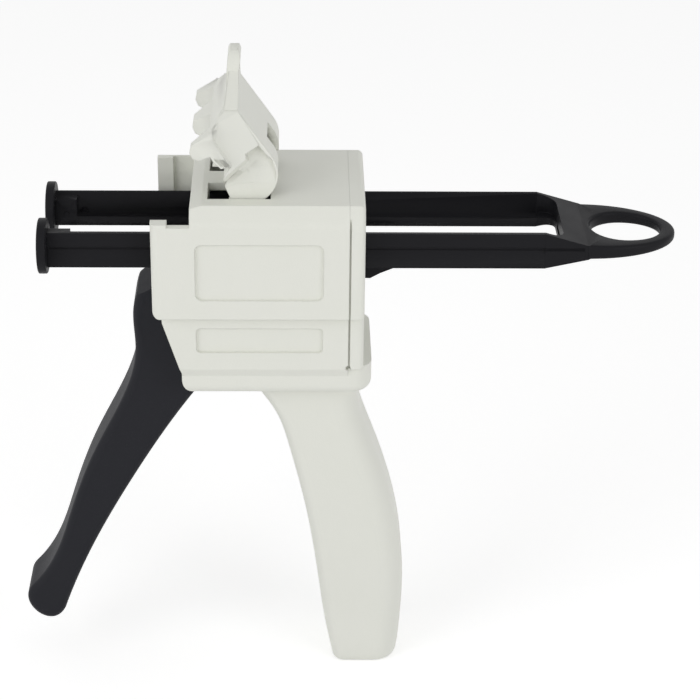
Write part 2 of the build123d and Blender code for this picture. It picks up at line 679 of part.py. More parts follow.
def trigger():
    """Trigger with its hub and the forked arm that carries the drive pawl."""
    hub_x, hub_z = trigger_axis
    front = [(-15.6, -18.6), (-16.8, -24.0), (-16.5, -36.8), (-20.7, -53.1), (-30.1, -72.2), (-38.3, -93.6),
             (-44.2, -110.5), (-52.2, -122.5)]
    toe = [front[-1], (-52.6, -130.4), (-47.4, -134.2), (-41.8, -130.6)]
    rear = [toe[-1], (-32.3, -107.6), (-18.8, -82.4), (-3.5, -58.0), (9.0, -41.5)]
    top = [rear[-1], (hub_x - 4.0, hub_z - 4.0), (hub_x, hub_z + 4.0), (8.0, -23.5), (-10.2, -20.6),
           (-11.0, -16.0), front[0]]
    blade_edges = [Spline(*in_side_plane(run)) for run in (front, toe, rear)]
    blade_edges += [Line(*pair) for pair in zip(in_side_plane(top), in_side_plane(top)[1:])]
    blade = side_slab(blade_edges, centred(trigger_half_width))
    rims = [edge for edge in blade.edges() if abs(edge.center().Y) > trigger_half_width - 0.1]
    long_rims = [edge for edge in rims if edge.length > 60 and (edge @ 0.5).X < -27]
    toe_rims = [edge for edge in rims if edge.center().Z < -105 and edge.length < 60]
    blade = fillet(long_rims + toe_rims, trigger_round)
    blade += cross_pin(trigger_axis, trigger_hub_radius, centred(trigger_half_width))
    lean = math.radians(pawl_lean)
    pin = pawl_pin_centre()
    half = arm_half_width
    dx, dz = math.sin(lean), math.cos(lean)
    arm = side_slab([(hub_x - half * dz, hub_z + half * dx), (hub_x + half * dz, hub_z - half * dx),
                     (pin[0] + half * dz, pin[1] - half * dx), (pin[0] - half * dz, pin[1] + half * dx)],
                    centred(fork_half_width))
    arm += cross_pin(pin, half, centred(fork_half_width))
    arm -= cross_pin(pin, half + 1.4, centred(pawl_hub_half_width + slide_gap))
    body = blade + arm
    body -= cross_pin(trigger_axis, trigger_pin_radius + pin_gap, centred(trigger_half_width + 1))
    body -= cross_pin(pin, pawl_pin_radius, centred(fork_half_width + 1))
    spring_room = cross_pin(trigger_axis, 4.6, (fork_half_width + 0.2, trigger_half_width + 1))
    body -= spring_room
    return body


def pawl_pin_centre():
    """Centre of the drive pawl's pin at rest."""
    lean = math.radians(pawl_lean)
    return (trigger_axis[0] + pawl_arm * math.sin(lean), trigger_axis[1] + pawl_arm * math.cos(lean))


def drive_pawl():
    """Pawl whose wide tip pushes both racks forward."""
    x, z = pawl_pin_centre()
    tip_x, tip_z = x + pawl_tip_offset[0], z + pawl_tip_offset[1]
    neck = side_slab([(x - 2.4, z + 1.0), (x + 2.4, z + 1.0), (tip_x + 3.4, tip_z - 2.6),
                      (tip_x + 0.2, tip_z - 3.4)], centred(pawl_hub_half_width))
    bar = side_slab([(tip_x, tip_z), (tip_x + 1.0, tip_z), (tip_x + 3.6, tip_z - 2.4),
                     (tip_x + 2.4, tip_z - 3.4), (tip_x + 0.2, tip_z - 3.4)], centred(pawl_half_width))
    pawl = neck + bar + cross_pin((x, z), pawl_hub_radius, centred(pawl_hub_half_width))
    pawl -= cross_pin((x, z), pawl_hub_radius + 0.1, (pawl_spring_y[0] - 0.1, pawl_hub_half_width + 1))
    pawl -= cross_pin((x, z), pawl_pin_radius + pin_gap, centred(pawl_hub_half_width + 1))
    return pawl


def release_lever():
    """Rocker that holds the racks with its front edge and is released at its rear pad."""
    x, z = release_axis
    tip_z = rack_tip_z - slide_gap
    front_bar = side_slab([(release_tip_x, tip_z), (release_tip_x - 2.6, tip_z - 2.4),
                           (release_tip_x - 1.6, tip_z - 3.6), (release_tip_x + 0.8, tip_z - 2.6),
                           (release_tip_x + 0.8, tip_z)], centred(pawl_half_width))
    neck = side_slab([(release_tip_x - 1.2, tip_z - 3.0), (release_tip_x + 0.8, tip_z - 1.0), (x, z + 3.0),
                      (x, z - 3.0), (release_tip_x + 4.0, z - 2.2), (release_tip_x + 2.9, release_seat_z),
                      (release_tip_x - 1.6, release_seat_z), (release_tip_x - 1.6, tip_z - 3.4)],
                     centred(release_neck_half_width))
    rear_x = box_length + cover_thickness
    lip = [(release_pad_x - 0.6, -8.0), (release_pad_x, -9.4), (release_pad_x - 3.8, -11.0),
           (release_pad_x - 6.8, -12.7)]
    tail = side_slab([(x, z + 2.0), (rear_x, -8.6), *lip, (rear_x + 0.3, -12.6), (x, z - 2.6)],
                     centred(release_neck_half_width))
    pad = side_slab([(box_length + 1.0, -9.2), *lip, (box_length + 1.0, -12.4)],
                    centred(release_pad_half_width))
    hub = cross_pin(release_axis, release_hub_radius, centred(release_hub_half_width))
    lever = front_bar + neck + tail + pad + hub
    lever -= cross_pin(release_axis, release_pin_radius + pin_gap, centred(release_hub_half_width + 1))
    return lever


def coil(centre, radius, wire, y_range):
    """Wound spring round a pin: a short stack of turns that touch."""
    turns = max(2, int((y_range[1] - y_range[0]) / (2 * wire)))
    spring = None
    for index in range(turns):
        y = y_range[0] + wire * (1 + 1.9 * index)
        turn = Pos(centre[0], y, centre[1]) * Rot(90, 0, 0) * Torus(radius, wire)
        spring = turn if spring is None else spring + turn
    return spring


def trigger_spring():
    """Return spring beside the trigger hub."""
    return coil(trigger_axis, 2.85, 0.5, (fork_half_width + 0.4, trigger_half_width + 0.4))


def release_spring():
    """Short spring that lifts the front of the release lever."""
    height = release_seat_z - bridge_top_z
    wire = 0.45
    turns = 8
    x = release_tip_x + 0.6
    spring = None
    for index in range(turns):
        z = bridge_top_z + wire + index * (height - 2 * wire) / (turns - 1)
        turn = Pos(x, 0, z) * Torus(1.6, wire)
        spring = turn if spring is None else spring + turn
    return spring


def pawl_spring():
    """Small torsion spring on the drive pawl's pin."""
    return coil(pawl_pin_centre(), 1.85, 0.3, pawl_spring_y)


def disc_pins():
    """Cross pins that hold the disc stems in the rods."""
    centre = (disc_front_x + disc_thickness + disc_pin_offset, rod_z)
    pins = []
    for y_range in both_sides((rod_inner_y - 0.2, rod_outer_y - 0.8)):
        pins.append(cross_pin(centre, disc_pin_radius, y_range))
    return Compound(children=pins)


def lever_pin():
    """Hinge pin of the locking lever."""
    return cross_pin(lever_axis, lever_pin_radius, centred(lever_half_width - lever_pin_cover))


def trigger_pin():
    """Hinge pin of the trigger, carried by the inner frame."""
    return cross_pin(trigger_axis, trigger_pin_radius, centred(frame_inner_y + frame_plate))


def pawl_pin():
    """Hinge pin of the drive pawl, carried by the trigger's fork."""
    return cross_pin(pawl_pin_centre(), pawl_pin_radius, centred(fork_half_width))


def release_pin():
    """Hinge pin of the release lever, carried by the inner frame."""
    return cross_pin(release_axis, release_pin_radius, centred(frame_inner_y + frame_plate))


pieces = {
    "housing": housing,
    "rear_cover": rear_cover,
    "cover_screws": cover_screws,
    "frame_plate_near": lambda: frame_plate_side(-1),
    "frame_plate_far": lambda: frame_plate_side(1),
    "frame_ties": inner_frame_ties,
    "locking_lever": locking_lever,
    "locking_lever_pin": lever_pin,
    "plunger_frame": plunger_frame,
    "piston_disc_near": lambda: piston_disc(-1),
    "piston_disc_far": lambda: piston_disc(1),
    "disc_pins": disc_pins,
    "trigger": trigger,
    "trigger_pin": trigger_pin,
    "trigger_spring": trigger_spring,
    "drive_pawl": drive_pawl,
    "drive_pawl_pin": pawl_pin,
    "drive_pawl_spring": pawl_spring,
    "release_lever": release_lever,
    "release_lever_pin": release_pin,
    "release_spring": release_spring,
}

os.makedirs("parts", exist_ok=True)
for name, make in pieces.items():
    export_step(make(), "parts/" + name + ".step")
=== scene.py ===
"""Looks of a hand-held dispensing gun for two-barrel dental cartridges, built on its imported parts."""

import math

import bmesh
import bpy
from bpy.props import FloatProperty, FloatVectorProperty, PointerProperty
from mathutils import Matrix, Vector


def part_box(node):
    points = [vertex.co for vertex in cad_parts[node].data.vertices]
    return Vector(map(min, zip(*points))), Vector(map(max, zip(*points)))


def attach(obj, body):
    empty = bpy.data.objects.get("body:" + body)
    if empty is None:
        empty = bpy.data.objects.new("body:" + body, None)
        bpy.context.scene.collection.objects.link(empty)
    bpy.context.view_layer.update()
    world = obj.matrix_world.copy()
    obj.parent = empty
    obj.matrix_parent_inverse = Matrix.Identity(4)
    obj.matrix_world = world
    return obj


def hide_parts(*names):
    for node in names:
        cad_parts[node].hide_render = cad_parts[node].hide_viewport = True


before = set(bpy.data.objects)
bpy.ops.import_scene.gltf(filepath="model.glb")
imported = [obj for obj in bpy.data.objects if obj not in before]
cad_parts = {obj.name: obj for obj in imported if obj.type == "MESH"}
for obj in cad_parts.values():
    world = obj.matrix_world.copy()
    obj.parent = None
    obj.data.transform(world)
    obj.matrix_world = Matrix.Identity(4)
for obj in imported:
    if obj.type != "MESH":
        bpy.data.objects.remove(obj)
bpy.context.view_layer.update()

bl_info = {
    "name": "Cartridge Dispensing Gun",
    "version": (1, 0, 0),
    "blender": (4, 5, 0),
    "location": "View3D > Sidebar > Dispenser",
    "description": "Dresses the packed parts of a two-barrel cartridge dispensing gun",
    "category": "Object",
}

MM = 0.001


def millimetres(*values):
    """A point given in millimetres."""
    return Vector(values) * MM


class Socket:
    """One output of a shader node, with Python's operators standing for Math nodes."""

    def __init__(self, finish, link):
        self.finish = finish
        self.link = link

    def math(self, operation, *values):
        """A Math node on these values."""
        return self.finish.node("ShaderNodeMath", {"operation": operation}, dict(enumerate(values)))

    def __add__(self, other):
        return self.math("ADD", self, other)

    def __radd__(self, other):
        return self.math("ADD", other, self)

    def __sub__(self, other):
        return self.math("SUBTRACT", self, other)

    def __rsub__(self, other):
        return self.math("SUBTRACT", other, self)

    def __mul__(self, other):
        return self.math("MULTIPLY", self, other)


class Finish:
    """The shader nodes of a material or of the world, under construction."""

    def __init__(self, owner):
        owner.use_nodes = True
        self.owner = owner
        self.tree = owner.node_tree
        self.tree.nodes.clear()

    def node(self, kind, settings=None, values=None, output=0):
        """Adds a node, applies its settings, then fills its sockets with numbers or links."""
        made = self.tree.nodes.new(kind)
        for key, value in (settings or {}).items():
            setattr(made, key, value)
        for key, value in (values or {}).items():
            if isinstance(value, Socket):
                self.tree.links.new(value.link, made.inputs[key])
            else:
                made.inputs[key].default_value = value
        return Socket(self, made.outputs[output]) if made.outputs else None

    def place(self, scale=(1, 1, 1)):
        """Object coordinates, stretched along each axis."""
        spot = self.node("ShaderNodeTexCoord", output="Object")
        return self.node("ShaderNodeMapping", values={"Vector": spot, "Scale": scale})

    def noise(self, size_mm, detail=3.0, stretch=(1, 1, 1)):
        """Soft noise from 0 to 1 whose features are about this many millimetres."""
        return self.node("ShaderNodeTexNoise", values={
            "Vector": self.place(stretch), "Scale": 1 / (size_mm * MM), "Detail": detail})

    def mix(self, share, first, second):
        """Colour between two colours."""
        return self.node("ShaderNodeMix", {"data_type": "RGBA"},
                         {"Factor": share, 6: first, 7: second}, output=2)

    def softened(self, radius_mm, height, depth_mm):
        """Normal with rounded edges and a fine raised grain."""
        rounded = self.node("ShaderNodeBevel", {"samples": 6}, {"Radius": radius_mm * MM})
        return self.node("ShaderNodeBump", values={
            "Height": height, "Distance": depth_mm * MM, "Strength": 1.0, "Normal": rounded})

    def surface(self, **values):
        """Closes the material with a Principled shader."""
        names = {key: key.replace("_", " ").title().replace("Ior", "IOR") for key in values}
        sockets = {names[key]: value for key, value in values.items()}
        shader = self.node("ShaderNodeBsdfPrincipled", values=sockets)
        self.node("ShaderNodeOutputMaterial", values={"Surface": shader})
        return self.owner


def dress(material, *names):
    """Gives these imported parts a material."""
    for name in names:
        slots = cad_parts[name].data.materials
        slots.clear()
        slots.append(material)


def moulded(name, colour, shade, roughness, grain_mm, edge_mm, gloss):
    """Moulded plastic: faint cloudiness in the colour, an even fine grain and rounded edges."""
    cloud_mm, smear_mm, smear_spread, grain_depth = 22, 6, 0.12, 0.1
    finish = Finish(bpy.data.materials.new(name))
    cloud = finish.noise(cloud_mm, detail=2)
    grain = finish.noise(grain_mm, detail=2)
    smear = finish.noise(smear_mm, detail=4, stretch=(1, 1, 0.4))
    return finish.surface(
        base_color=finish.mix(cloud, (*colour, 1), (*shade, 1)),
        roughness=roughness + (smear - 0.5) * smear_spread,
        normal=finish.softened(edge_mm, grain, grain_mm * grain_depth),
        specular_ior_level=gloss,
    )


def metal(name, colour, roughness, stretch):
    """Bare steel with fine drawn or rolled lines."""
    line_mm, line_shade, line_spread, line_depth_mm, edge_mm = 1.2, 0.8, 0.2, 0.02, 0.15
    finish = Finish(bpy.data.materials.new(name))
    lines = finish.noise(line_mm, detail=4, stretch=stretch)
    darker = tuple(line_shade * channel for channel in colour)
    return finish.surface(
        base_color=finish.mix(lines, (*darker, 1), (*colour, 1)),
        metallic=1.0,
        roughness=roughness + (lines - 0.5) * line_spread,
        normal=finish.softened(edge_mm, lines, line_depth_mm),
    )


def side_prism(outline, y_range):
    """Closed block: an outline in the side plane carried from one depth to another, in millimetres."""
    shape = bmesh.new()
    face = shape.faces.new([shape.verts.new(millimetres(x, y_range[0], z)) for x, z in outline])
    made = bmesh.ops.extrude_face_region(shape, geom=[face])["geom"]
    far = [item for item in made if isinstance(item, bmesh.types.BMVert)]
    bmesh.ops.translate(shape, verts=far, vec=millimetres(0, y_range[1] - y_range[0], 0))
    bmesh.ops.recalc_face_normals(shape, faces=shape.faces)
    return shape


def sliced(shape, first, second, third, inward):
    """Cuts away the side of a plane through three points that lies away from an inner point."""
    normal = (Vector(second) - Vector(first)).cross(Vector(third) - Vector(first)).normalized()
    if normal.dot(Vector(inward) - Vector(first)) > 0:
        normal = -normal
    everything = shape.verts[:] + shape.edges[:] + shape.faces[:]
    cut = bmesh.ops.bisect_plane(shape, geom=everything, dist=1e-7, plane_co=millimetres(*first),
                                 plane_no=normal, clear_outer=True)["geom_cut"]
    rim = [item for item in cut if isinstance(item, bmesh.types.BMEdge)]
    bmesh.ops.holes_fill(shape, edges=rim, sides=0)
    bmesh.ops.recalc_face_normals(shape, faces=shape.faces)
    return shape


def other_side(shape):
    """Copy of a block on the other side of the middle plane."""
    twin = shape.copy()
    bmesh.ops.scale(twin, verts=twin.verts, vec=(1, -1, 1))
    bmesh.ops.reverse_faces(twin, faces=twin.faces)
    return twin


def as_object(name, shape):
    """Object in the scene made from a bmesh, which is freed."""
    mesh = bpy.data.meshes.new(name)
    shape.to_mesh(mesh)
    shape.free()
    piece = bpy.data.objects.new(name, mesh)
    bpy.context.scene.collection.objects.link(piece)
    return piece


def cut_from(body, blocks):
    """A body with blocks cut from it, as a new bmesh."""
    piece = as_object("cut_body", body)
    tools = [as_object("cutter", block) for block in blocks]
    for tool in tools:
        modifier = piece.modifiers.new("Cut", "BOOLEAN")
        modifier.operation = "DIFFERENCE"
        modifier.solver = "EXACT"
        modifier.object = tool
    bpy.context.view_layer.update()
    result = piece.evaluated_get(bpy.context.evaluated_depsgraph_get())
    shape = bmesh.new()
    shape.from_mesh(result.to_mesh())
    result.to_mesh_clear()
    for item in (piece, *tools):
        mesh = item.data
        bpy.data.objects.remove(item)
        bpy.data.meshes.remove(mesh)
    return shape


def gathered(name, shapes, broad=None):
    """One object from several closed shapes, smooth except at its edges.

    Faces of more than broad square millimetres stay flat.
    """
    crease = math.radians(28)
    whole = bmesh.new()
    for shape in shapes:
        part = bpy.data.meshes.new("part")
        shape.to_mesh(part)
        whole.from_mesh(part)
        shape.free()
        bpy.data.meshes.remove(part)
    for face in whole.faces:
        face.smooth = broad is None or face.calc_area() < broad * MM * MM
    piece = as_object(name, whole)
    piece.data.set_sharp_from_angle(angle=crease)
    return piece


class FinishSettings(bpy.types.PropertyGroup):
    """Colours and surface sizes."""
    ivory: FloatVectorProperty(name="Ivory", description="Housing, cover and lever", subtype="COLOR",
                               default=(0.845, 0.85, 0.79), min=0, max=1)
    ivory_shade: FloatVectorProperty(name="Ivory shade", description="Cloudy variation of the ivory",
                                     subtype="COLOR", default=(0.825, 0.835, 0.762), min=0, max=1)
    black: FloatVectorProperty(name="Black", description="Plunger, pawl and release lever", subtype="COLOR",
                               default=(0.0130, 0.0130, 0.0150), min=0, max=1)
    charcoal: FloatVectorProperty(name="Charcoal", description="Trigger", subtype="COLOR",
                                  default=(0.0230, 0.0235, 0.0280), min=0, max=1)
    steel: FloatVectorProperty(name="Steel", description="Pins, screws, plates and springs", subtype="COLOR",
                               default=(0.60, 0.60, 0.61), min=0, max=1)
    ivory_roughness: FloatProperty(name="Ivory roughness", description="Roughness of the ivory plastic",
                                   subtype="FACTOR", default=0.46)
    black_roughness: FloatProperty(name="Black roughness", description="Roughness of the plunger",
                                   subtype="FACTOR", default=0.42)
    charcoal_roughness: FloatProperty(name="Charcoal roughness", description="Roughness of the trigger",
                                      subtype="FACTOR", default=0.52)
    ivory_grain: FloatProperty(name="Ivory grain", description="Grain size in millimetres", default=0.35)
    black_grain: FloatProperty(name="Black grain", description="Grain size in millimetres", default=0.30)
    ivory_gloss: FloatProperty(name="Ivory gloss", description="Strength of reflections on ivory plastic",
                               subtype="FACTOR", default=0.45)
    black_gloss: FloatProperty(name="Black gloss", description="Strength of reflections on black plastic",
                               subtype="FACTOR", default=0.08)
    edge: FloatProperty(name="Edge", description="Radius of moulded edges in millimetres", default=0.45)
    black_edge: FloatProperty(name="Black edge", description="Radius of the plunger's edges in millimetres",
                              default=0.27)


class LeverSettings(bpy.types.PropertyGroup):
    """Sizes of the locking lever's facets, in millimetres."""
    side: FloatProperty(name="Side", description="Half width of the lever at its back edge", default=15.5)
    cheek: FloatProperty(name="Cheek", description="Half width of the facet beside the leg", default=19.7)
    ridge: FloatProperty(name="Ridge", description="Half width of the flat ridge under the tab", default=5.5)
    ridge_height: FloatProperty(name="Ridge height", description="Height of the ridge above the axes",
                                default=51.4)
    scoop: FloatProperty(name="Scoop", description="Depth of the hollow above the ear", default=1.9)


class PlungerSettings(bpy.types.PropertyGroup):
    """Sizes of the plunger's back end, in millimetres from the flange slot."""
    gap_end: FloatProperty(name="Gap end", description="Where the gap between the rods ends",
                           default=111.0)
    gap_round: FloatProperty(name="Gap round", description="Rounding of the gap's corners", default=4.0)
    ramp_end: FloatProperty(name="Ramp end", description="Where the ramp runs into the loop",
                            default=118.0)
    loop_tip: FloatProperty(name="Loop tip", description="Back end of the loop", default=145.6)
    hole_front: FloatProperty(name="Hole front", description="Front end of the finger hole", default=120.1)
    hole_middle: FloatProperty(name="Hole middle", description="Widest place of the finger hole",
                               default=129.5)
    hole_back: FloatProperty(name="Hole back", description="Back end of the finger hole", default=141.2)
    hole_half_width: FloatProperty(name="Hole half width", description="Half width of the hole",
                                   default=9.7)
    loop_round: FloatProperty(name="Loop round", description="Rounding of the loop's rims", default=1.0)


class StudioSettings(bpy.types.PropertyGroup):
    """Camera, lamps and floor."""
    camera_place: FloatVectorProperty(name="Camera", description="Where the camera stands", subtype="XYZ",
                                      unit="LENGTH", default=(0.033448, -0.616076, 0.279484))
    camera_target: FloatVectorProperty(name="Target", description="Point in the middle of the picture",
                                       subtype="XYZ", unit="LENGTH", default=(0.048727, 0.000296, -0.041477))
    camera_roll: FloatProperty(name="Roll", description="Turn of the picture", unit="ROTATION",
                               default=math.radians(0.75))
    lens: FloatProperty(name="Lens", description="Focal length in millimetres", default=116.18)
    ambient: FloatProperty(name="Ambient", description="Strength of the light from all round",
                           default=0.54)
    key: FloatProperty(name="Key", description="Power of the main lamp in watts", default=2.7)
    fill: FloatProperty(name="Fill", description="Power of the lamp on the right in watts", default=1.8)
    floor_shadow: FloatProperty(name="Floor shadow", description="Share of the floor that takes shadow",
                                subtype="FACTOR", default=0.95)
    floor_glow: FloatProperty(name="Floor glow", description="Brightness of the rest of the floor",
                              default=8.8)


class GUN_OT_shell(bpy.types.Operator):
    """Ivory finish of the housing, cover and locking lever"""
    bl_idname = "gun.shell"
    bl_label = "Ivory Shell"

    def execute(self, context):
        look = context.scene.gun_finish
        ivory = moulded("ivory_plastic", look.ivory, look.ivory_shade, look.ivory_roughness,
                        look.ivory_grain, look.edge, look.ivory_gloss)
        dress(ivory, "housing", "rear_cover", "locking_lever")
        return {"FINISHED"}


class GUN_OT_lever(bpy.types.Operator):
    """Locking lever with its sloped cheeks, flat ridge and scooped ears"""
    bl_idname = "gun.lever"
    bl_label = "Locking Lever"

    # Places in the side plane, as x and z in millimetres.
    leg_top, leg_foot = (7.6, 38.0), (13.7, 28.4)
    back_top, back_foot = (15.7, 42.9), (21.5, 32.8)
    cheek_front = ((10.0, 41.6), (11.6, 42.9))
    cheek_rim = ((17.6, 30.8), (17.9, 29.3), (12.7, 25.7), (11.4, 24.5))
    ear_rim = ((11.4, 20.3), (19.1, 26.4))
    apron_corner = (11.3, 22.8)
    web_rim = ((13.3, 25.9), (20.9, 32.9), (21.6, 32.2), (23.9, 29.6), (20.6, 21.3), (14.5, 20.8),
               (12.1, 19.5), (11.7, 20.2))
    ridge_front = ((11.6, 43.2), (11.8, 44.0), (12.6, 49.0))
    ridge_start, ridge_foot = 12.9, 43.2
    scoop_top = (21.3, 32.3)
    scoop_foot = ((13.0, 15.6), (24.0, 15.6), (26.1, 20.4), (26.3, 24.6), (25.3, 28.0))
    scoop_deep, scoop_ends = (17.8, 30.6), ((12.0, 21.4), (25.0, 21.2))
    # Half width of the hood's inside, how far the apron's foot lies inside the ear, how far the web lies
    # under the scoop, and how far a block reaches past the cheek before it is trimmed.
    inner, ear_inset, web_under, spare = 13.3, 1.0, 0.03, 1.0

    def execute(self, context):
        size = context.scene.gun_lever
        body = bmesh.new()
        body.from_mesh(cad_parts["locking_lever"].data)
        bmesh.ops.remove_doubles(body, verts=body.verts, dist=1e-6)
        scoop = self.scoop(size)
        shapes = [cut_from(body, [other_side(scoop), scoop]), self.ridge(size)]
        for block in (self.cheek(size), self.apron(size), self.web(size)):
            shapes += [other_side(block), block]
        lever = gathered("lever_hood", shapes)
        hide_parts("locking_lever")
        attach(lever, "locking_lever")
        lever.data.materials.append(bpy.data.materials["ivory_plastic"])
        return {"FINISHED"}

    def depth_at(self, size, x, z):
        """Half width of the cheek's sloped plane at a place in the side plane."""
        run = Vector(self.leg_foot) - Vector(self.leg_top)
        across = Vector((-run.y, run.x)).normalized()
        full = (Vector(self.back_top) - Vector(self.leg_top)).dot(across)
        share = (Vector((x, z)) - Vector(self.leg_top)).dot(across) / full
        return size.cheek + (size.side - size.cheek) * share

    def on_plane(self, size, place):
        """A place in the side plane, moved out to the cheek's sloped plane."""
        return (place[0], self.depth_at(size, *place), place[1])

    def under_roof(self, size, block):
        """Trims a block to the slope that falls from the ridge."""
        ridge = (0, size.ridge, size.ridge_height)
        eave = (0, size.side, self.back_top[1])
        return sliced(block, ridge, eave, (30, *eave[1:]), (10, 0, 0))

    def cheek(self, size):
        """Facet beside the leg, sloped from its front edge to the back of the hood."""
        outline = [self.leg_top, *self.cheek_front, self.back_top, self.back_foot, *self.cheek_rim,
                   self.leg_foot]
        block = side_prism(outline, (self.inner, size.cheek + self.spare))
        corners = [self.on_plane(size, place) for place in (self.leg_top, self.leg_foot, self.back_top)]
        return self.under_roof(size, sliced(block, *corners, (12, 0, 34)))

    def apron(self, size):
        """Slope from the lower rim of the cheek to the ear."""
        rim_back, rim_front = self.cheek_rim[1], self.cheek_rim[2]
        outline = [rim_back, self.ear_rim[1], self.ear_rim[0], self.apron_corner, self.cheek_rim[3],
                   rim_front]
        block = side_prism(outline, (self.inner, size.cheek + self.spare))
        corners = (self.on_plane(size, rim_back), self.on_plane(size, rim_front),
                   (self.ear_rim[0][0], size.side - self.ear_inset, self.ear_rim[0][1]))
        return sliced(block, *corners, (15, 0, 24))

    def web(self, size):
        """Backs the wall of the ear under the scoop."""
        block = side_prism(self.web_rim, (self.inner, size.side - self.web_under))
        return sliced(block, *self.scoop_floor(size, self.web_under), (18, 0, 24))

    def ridge(self, size):
        """Roof under the tab, flat on top and sloped to both sides."""
        outline = [*self.ridge_front, (self.ridge_start, size.ridge_height),
                   (self.back_top[0], size.ridge_height), (self.back_top[0], self.ridge_foot)]
        block = self.under_roof(size, side_prism(outline, (-size.side, size.side)))
        return other_side(self.under_roof(size, other_side(block)))

    def scoop(self, size):
        """Hollow that runs from deep under the cheek to nothing at the foot of the ear."""
        outline = [self.scoop_top, *self.cheek_rim[:2], self.ear_rim[1], self.ear_rim[0], *self.scoop_foot]
        reach = size.cheek + 2 * self.spare
        block = side_prism(outline, (self.inner - 2 * self.spare, reach))
        return sliced(block, *self.scoop_floor(size), (18, reach, 24))

    def scoop_floor(self, size, under=0.0):
        """Three points of the scoop's floor, or of a plane this far under it."""
        y = size.side - under
        x, z = self.scoop_deep
        return (x, y - size.scoop, z), *((x, y, z) for x, z in self.scoop_ends)


